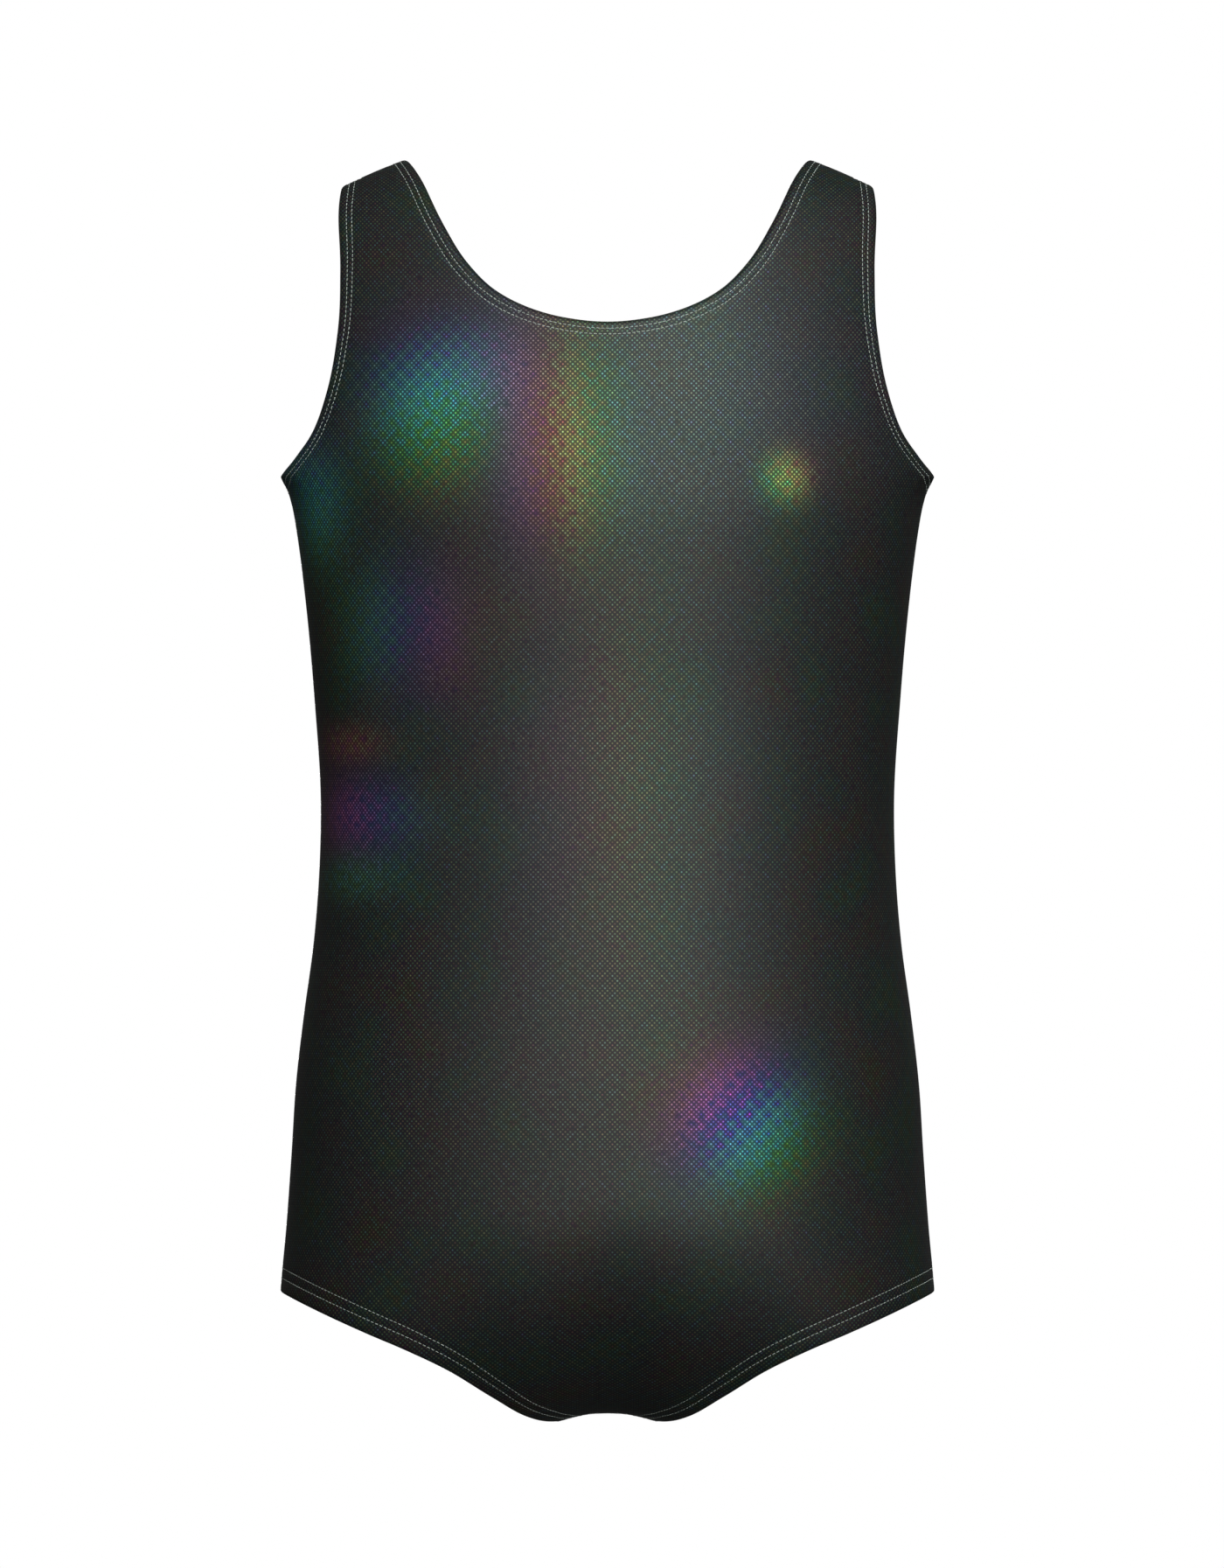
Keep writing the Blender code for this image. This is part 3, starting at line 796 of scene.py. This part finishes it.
class Nodes:
    """A new material with short calls that add nodes to its tree and join them."""

    def __init__(self, name):
        self.material = bpy.data.materials.new(name)
        self.material.use_nodes = True
        self.tree = self.material.node_tree
        self.shader = self.tree.nodes["Principled BSDF"]

    def add(self, kind, **settings):
        """A new node of this kind with these settings."""
        node = self.tree.nodes.new(kind)
        for key, value in settings.items():
            setattr(node, key, value)
        return node

    def join(self, value, socket):
        """Feeds an input with another node's output or with a fixed value."""
        if isinstance(value, bpy.types.NodeSocket):
            self.tree.links.new(value, socket)
        else:
            socket.default_value = value

    def math(self, operation, *values):
        """The result of one sum on numbers."""
        node = self.add("ShaderNodeMath", operation=operation)
        for value, socket in zip(values, node.inputs):
            self.join(value, socket)
        return node.outputs[0]

    def vector(self, operation, *values):
        """The result of one sum on vectors or colours."""
        node = self.add("ShaderNodeVectorMath", operation=operation)
        for value, socket in zip(values, node.inputs):
            self.join(value, socket)
        return node.outputs["Value" if operation in ("DOT_PRODUCT", "LENGTH") else "Vector"]

    def scale(self, vector, factor):
        """A vector or colour times a number."""
        node = self.add("ShaderNodeVectorMath", operation="SCALE")
        self.join(vector, node.inputs[0])
        self.join(factor, node.inputs["Scale"])
        return node.outputs["Vector"]


PAINTED_REFLECTIONS = {
    # painted reflections: rainbow light where the foil turns to face the lamps, painted into the colour
    # at fixed places.
    # Columns: x and height of the middle, reach across and up, way in which the hue runs (degrees from
    # the right), first and last hue, saturation, strength
    "front": (
        (-68, -98, 22, 26, -70, 0.62, 0.28, 0.95, 0.29),
        (-46, -84, 18, 18, 0, 0.64, 0.80, 0.80, 0.12),
        (-18, -114, 23, 36, 4, 0.76, 1.42, 0.90, 0.20),
        (-118, -140, 12, 22, -90, 0.54, 0.42, 0.95, 0.24),
        (-78, -186, 28, 26, 0, 0.36, 0.98, 0.90, 0.10),
        (-106, -232, 18, 8, 25, 0.96, 1.04, 0.85, 0.12),
        (-102, -260, 26, 15, 0, 1.00, 0.58, 0.90, 0.17),
        (-102, -284, 20, 10, 0, 0.38, 0.44, 0.95, 0.09),
        (70, -127, 9, 9, 200, 0.10, 0.34, 0.85, 0.34),
        (52, -380, 22, 23, -45, 0.88, 0.38, 1.00, 0.35),
        # painted pale sheen: these three wide, faint rows lie over the chest, the middle and the belly
        (36, -96, 56, 44, 0, 0.28, 0.66, 0.45, 0.07),
        (4, -245, 34, 90, 0, 0.80, 1.44, 0.60, 0.05),
        (-24, -370, 56, 56, 0, 0.00, 0.12, 0.40, 0.02),
    ),
    "back": (
        (60, -148, 24, 26, -110, 0.62, 0.28, 0.95, 0.27),
        (22, -162, 22, 34, 180, 0.78, 1.42, 0.90, 0.18),
        (100, -214, 16, 26, -90, 0.54, 0.42, 0.95, 0.14),
        (-58, -232, 24, 20, 20, 0.98, 0.60, 0.90, 0.15),
        (-62, -390, 22, 22, 220, 0.88, 0.38, 1.00, 0.33),
        (74, -402, 24, 18, 0, 0.36, 0.64, 0.90, 0.12),
        # painted pale sheen down the middle of the back
        (0, -240, 44, 120, 0, 0.28, 0.70, 0.50, 0.06),
    ),
}
DOT_PITCH = 1.95  # the lattice of dots is a square one with a dot in the middle of each square
DOT_EDGE = 2.0  # the higher, the smaller and crisper each dot
BRIGHT_PITCH = 3.9  # the same for the brighter dots among them
CLUSTER = 7.8  # after this length the dots' regular change of hue repeats
GRAIN = 2.4  # size of their irregular change
CLUSTER_HUE = 0.15  # how far the two turn the hue in a painted reflection
OWN_HUE = 0.38  # and that of the dots' own colour
WASH_TURN = 0.20  # and that of the knit between them
KNIT_VALUE = 0.013
WASH = 30.0  # distance over which the cloth's own faint hue wanders
WASH_HUES = 1.4  # how many times round the colours it may go
WASH_SATURATION = 0.45
DOT_HUE, DOT_SATURATION, DOT_VALUE = 0.27, 0.55, 0.15
DOT_PAINTED_REFLECTION = 2.7  # how much of the painted reflection the dots show
KNIT_PAINTED_REFLECTION = 0.25  # and the knit between them
RIB = 1.381  # pitch of the ribs on the knit's inner face


def hsv(nodes, hue, saturation, value):
    """A colour from its hue, which wraps round, saturation and value."""
    color = nodes.add("ShaderNodeCombineColor", mode="HSV")
    for socket, level in zip(color.inputs, (nodes.math("FRACT", hue), saturation, value)):
        nodes.join(level, socket)
    return color.outputs[0]


def painted_reflection_color(nodes, side, shift):
    """The painted reflections on one side, each a soft patch of colour at a fixed place across which the
    hue runs.
    """
    place = nodes.add("ShaderNodeTexCoord").outputs["Object"]
    total = (0.0, 0.0, 0.0)
    for x, z, reach_x, reach_z, way, first, last, saturation, strength in PAINTED_REFLECTIONS[side]:
        away = nodes.vector("SUBTRACT", place, (x * MM, 0.0, z * MM))
        away = nodes.vector("MULTIPLY", away, (1 / (reach_x * MM), 0.0, 1 / (reach_z * MM)))
        square = nodes.vector("DOT_PRODUCT", away, away)
        fade = nodes.math("EXPONENT", nodes.math("MULTIPLY", square, -1.0))
        run = (np.cos(np.radians(way)), 0.0, np.sin(np.radians(way)))
        along = nodes.vector("DOT_PRODUCT", away, run)
        hue = nodes.math("MULTIPLY_ADD", along, (last - first) / 2, (last + first) / 2)
        hue = nodes.math("ADD", hue, shift)
        color = hsv(nodes, hue, saturation, nodes.math("MULTIPLY", fade, strength))
        total = nodes.vector("ADD", total, color)
    return total


def waves(nodes, u, v, pitch):
    """Two crossing waves along the slanting rows of a centred lattice, each between 0 and 1."""
    turn = 2 * np.pi / (pitch * MM)
    for mix in ("ADD", "SUBTRACT"):
        phase = nodes.math("MULTIPLY", nodes.math(mix, u, v), turn)
        yield nodes.math("MULTIPLY_ADD", nodes.math("COSINE", phase), 0.5, 0.5)


def foil_material(name, side):
    """Black knit under a lattice of foil dots, with soft patches of rainbow reflection painted into the
    colour of dots and knit.
    """
    nodes = Nodes(name)
    uv = nodes.add("ShaderNodeUVMap", uv_map="cloth").outputs[0]
    split = nodes.add("ShaderNodeSeparateXYZ")
    nodes.join(uv, split.inputs[0])
    u, v = split.outputs[0], split.outputs[1]
    dots = nodes.math("POWER", nodes.math("MULTIPLY", *waves(nodes, u, v, DOT_PITCH)), DOT_EDGE)
    bright = nodes.math("MULTIPLY", *waves(nodes, u, v, BRIGHT_PITCH))
    turns = 2 * np.pi / (CLUSTER * MM)
    swings = [nodes.math("SINE", nodes.math("MULTIPLY", way, turns)) for way in (u, v)]
    noise = nodes.add("ShaderNodeTexNoise")
    nodes.join(uv, noise.inputs["Vector"])
    noise.inputs["Scale"].default_value = 1 / (GRAIN * MM)
    noise.inputs["Detail"].default_value = 1.0
    grain = nodes.math("MULTIPLY_ADD", noise.outputs["Fac"], 2.0, -1.0)
    mottle = nodes.math("MULTIPLY_ADD", nodes.math("MULTIPLY", *swings), 0.5, grain)
    painted_reflection = painted_reflection_color(nodes, side, nodes.math("MULTIPLY", mottle, CLUSTER_HUE))
    # the dots' own colour is lighter where the reflection is painted
    light = nodes.vector("DOT_PRODUCT", painted_reflection, (0.33, 0.33, 0.33))
    own_value = nodes.math("MULTIPLY_ADD", light, 0.5, DOT_VALUE)
    own_hue = nodes.math("MULTIPLY_ADD", mottle, OWN_HUE, DOT_HUE)
    own = hsv(nodes, own_hue, DOT_SATURATION, own_value)
    sparkle = nodes.math("MULTIPLY_ADD", grain, 0.9, nodes.math("MULTIPLY_ADD", bright, 0.3, 0.8))
    # painted reflection added to the dots' colour
    dot_color = nodes.scale(nodes.vector("ADD", own, nodes.scale(painted_reflection, DOT_PAINTED_REFLECTION)), sparkle)
    wash = nodes.add("ShaderNodeTexNoise")
    nodes.join(uv, wash.inputs["Vector"])
    wash.inputs["Scale"].default_value = 1 / (WASH * MM)
    wash.inputs["Detail"].default_value = 1.0
    turned = nodes.math("MULTIPLY", mottle, WASH_TURN)
    wash_hue = nodes.math("MULTIPLY_ADD", wash.outputs["Fac"], WASH_HUES, turned)
    knit_own = hsv(nodes, wash_hue, WASH_SATURATION, KNIT_VALUE)
    # painted reflection added, fainter, to the knit between the dots
    knit_color = nodes.vector("ADD", knit_own, nodes.scale(painted_reflection, KNIT_PAINTED_REFLECTION))
    mix = nodes.add("ShaderNodeMix", data_type="RGBA")
    nodes.join(dots, mix.inputs["Factor"])
    nodes.join(knit_color, mix.inputs["A"])
    nodes.join(dot_color, mix.inputs["B"])
    nodes.join(mix.outputs["Result"], nodes.shader.inputs["Base Color"])
    nodes.join(nodes.math("MULTIPLY", dots, 0.5), nodes.shader.inputs["Metallic"])
    nodes.join(nodes.math("MULTIPLY_ADD", dots, -0.08, 0.57), nodes.shader.inputs["Roughness"])
    nodes.shader.inputs["Specular IOR Level"].default_value = 0.35
    bump = nodes.add("ShaderNodeBump")
    bump.inputs["Strength"].default_value = 0.3
    bump.inputs["Distance"].default_value = 0.05 * MM
    nodes.join(dots, bump.inputs["Height"])
    nodes.join(bump.outputs[0], nodes.shader.inputs["Normal"])
    return nodes.material


def lining_material():
    """The knit's plain inner face."""
    nodes = Nodes("knit_inside")
    uv = nodes.add("ShaderNodeUVMap", uv_map="cloth").outputs[0]
    wave = nodes.add("ShaderNodeTexWave", wave_type="BANDS", bands_direction="X")
    nodes.join(uv, wave.inputs["Vector"])
    # at scale 1 the texture's bands repeat after a twentieth of a whole turn in radians
    wave.inputs["Scale"].default_value = 2 * np.pi / 20 / (RIB * MM)
    wave.inputs["Distortion"].default_value = 1.5
    mix = nodes.add("ShaderNodeMix", data_type="RGBA")
    nodes.join(wave.outputs["Fac"], mix.inputs["Factor"])
    mix.inputs["A"].default_value = (0.010, 0.010, 0.011, 1)
    mix.inputs["B"].default_value = (0.026, 0.027, 0.028, 1)
    nodes.join(mix.outputs["Result"], nodes.shader.inputs["Base Color"])
    nodes.shader.inputs["Roughness"].default_value = 0.9
    nodes.shader.inputs["Specular IOR Level"].default_value = 0.2
    return nodes.material


def thread_material():
    """Pale grey-green polyester thread."""
    nodes = Nodes("thread")
    noise = nodes.add("ShaderNodeTexNoise")
    noise.inputs["Scale"].default_value = 900.0
    mix = nodes.add("ShaderNodeMix", data_type="RGBA")
    nodes.join(noise.outputs["Fac"], mix.inputs["Factor"])
    mix.inputs["A"].default_value = (0.26, 0.31, 0.28, 1)
    mix.inputs["B"].default_value = (0.60, 0.68, 0.62, 1)
    nodes.join(mix.outputs["Result"], nodes.shader.inputs["Base Color"])
    nodes.shader.inputs["Roughness"].default_value = 0.6
    return nodes.material


# The setting, in metres
CAMERA_DISTANCE = 12.0  # far off, so that the picture shows hardly any perspective
CAMERA_HEIGHT = -0.2476
CAMERA_ASIDE = 0.0018
FRAME_HEIGHT = 0.6206  # what the picture's height takes in at the garment
FLOOR_HEIGHT = -0.75
FLOOR_RADIUS = 6.0
LIGHT_SPREAD = np.radians(50.0)
ROOM_FRONT = 0.10  # light of the room straight ahead and behind, above that of its sides
ROOM_SIDE = 0.05
AIM = (0.0, 0.0, -0.25)  # the garment's middle
LAMPS = (
    # name, place, width, height, power in watts, slant in degrees
    ("strip", (0.42, -2.2, -0.20), 0.32, 2.4, 4.3, 14.0),
    ("high", (0.35, -1.6, 1.6), 0.9, 0.5, 2.6, 0.0),
    ("rear", (-0.12, 2.2, -0.30), 0.32, 1.0, 3.4, 0.0),
)
SHEETS = {
    # width and length of the box round the flat cloth in metres, and its area in square metres
    "front": ((0.33, 0.62), 0.137),
    "back": ((0.33, 0.62), 0.133),
}


def make_floor():
    """A floor that is white to the eye and throws little light up at the cloth."""
    bpy.ops.mesh.primitive_circle_add(vertices=96, radius=FLOOR_RADIUS, fill_type="NGON")
    ground = bpy.context.object
    ground.name = "floor"
    ground.location.z = FLOOR_HEIGHT
    nodes = Nodes("floor_paint")
    nodes.shader.inputs["Base Color"].default_value = (0.10, 0.10, 0.10, 1)
    nodes.shader.inputs["Roughness"].default_value = 0.9
    seen = nodes.add("ShaderNodeLightPath").outputs["Is Camera Ray"]
    nodes.join(seen, nodes.shader.inputs["Emission Strength"])
    nodes.shader.inputs["Emission Color"].default_value = (1, 1, 1, 1)
    ground.data.materials.append(nodes.material)


def make_world():
    """White to the eye. To the cloth it is a dim room, lighter in front and behind than beside it."""
    world = bpy.data.worlds.new("studio")
    bpy.context.scene.world = world
    world.use_nodes = True
    tree = world.node_tree
    tree.nodes.clear()
    out = tree.nodes.new("ShaderNodeOutputWorld")
    seen, lit = tree.nodes.new("ShaderNodeBackground"), tree.nodes.new("ShaderNodeBackground")
    seen.inputs["Color"].default_value = (1, 1, 1, 1)
    lit.inputs["Color"].default_value = (1, 1, 1, 1)
    way = tree.nodes.new("ShaderNodeSeparateXYZ")
    tree.links.new(tree.nodes.new("ShaderNodeTexCoord").outputs["Generated"], way.inputs[0])
    facing = tree.nodes.new("ShaderNodeMath")
    facing.operation = "MULTIPLY"
    tree.links.new(way.outputs["Y"], facing.inputs[0])
    tree.links.new(way.outputs["Y"], facing.inputs[1])
    strength = tree.nodes.new("ShaderNodeMath")
    strength.operation = "MULTIPLY_ADD"
    tree.links.new(facing.outputs[0], strength.inputs[0])
    strength.inputs[1].default_value = ROOM_FRONT
    strength.inputs[2].default_value = ROOM_SIDE
    tree.links.new(strength.outputs[0], lit.inputs["Strength"])
    path = tree.nodes.new("ShaderNodeLightPath")
    mix = tree.nodes.new("ShaderNodeMixShader")
    tree.links.new(path.outputs["Is Camera Ray"], mix.inputs[0])
    tree.links.new(lit.outputs[0], mix.inputs[1])
    tree.links.new(seen.outputs[0], mix.inputs[2])
    tree.links.new(mix.outputs[0], out.inputs[0])


def add_light(name, place, width, height, power, slant):
    """A soft rectangular lamp that faces the garment's middle, turned by its slant."""
    data = bpy.data.lights.new(name, "AREA")
    data.shape = "RECTANGLE"
    data.size, data.size_y, data.energy = width, height, power
    lamp = bpy.data.objects.new(name, data)
    lamp.location = place
    aim = (Vector(AIM) - Vector(place)).to_track_quat("-Z", "Y")
    lamp.rotation_euler = (aim @ Quaternion((0, 0, 1), np.radians(slant))).to_euler()
    data.spread = LIGHT_SPREAD
    bpy.context.scene.collection.objects.link(lamp)


def make_camera():
    """The photograph's straight view of the front."""
    data = bpy.data.cameras.new("camera")
    data.sensor_width = 36.0
    data.lens = data.sensor_width * CAMERA_DISTANCE / FRAME_HEIGHT
    data.clip_end = 100.0
    camera = bpy.data.objects.new("camera", data)
    camera.location = (CAMERA_ASIDE, -CAMERA_DISTANCE, CAMERA_HEIGHT)
    camera.rotation_euler = (np.pi / 2, 0.0, 0.0)
    bpy.context.scene.collection.objects.link(camera)
    bpy.context.scene.camera = camera


def make_trims(finish, thread):
    """All the turned hems, each in place of its solid, and their stitches."""
    trims = []
    for name in HEMS:
        for half in ("left", "right") if name != "neck" else ("",):
            node = f"{name}_hem" + (f"_{half}" if half else "")
            hem = make_hem(name, half, [finish])
            stitches = make_stitches(name, half, thread)
            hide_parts(node)
            trims += [hem, stitches]
    return trims


def main():
    bpy.context.scene.view_settings.view_transform = "Standard"
    make_world()
    make_floor()
    for lamp in LAMPS:
        add_light(*lamp)
    make_camera()

    inner = lining_material()
    thread = thread_material()
    foil = {side: foil_material(f"foil_{side}", side) for side in OUTWARD}
    panels = {side: make_panel(side, [foil[side], inner]) for side in OUTWARD}
    trims = make_trims(foil["front"], thread)
    for side, panel in panels.items():
        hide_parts(f"{side}_panel")
        flat, area = SHEETS[side]
    for piece in [*panels.values(), *trims]:
        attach(piece, "root")


main()
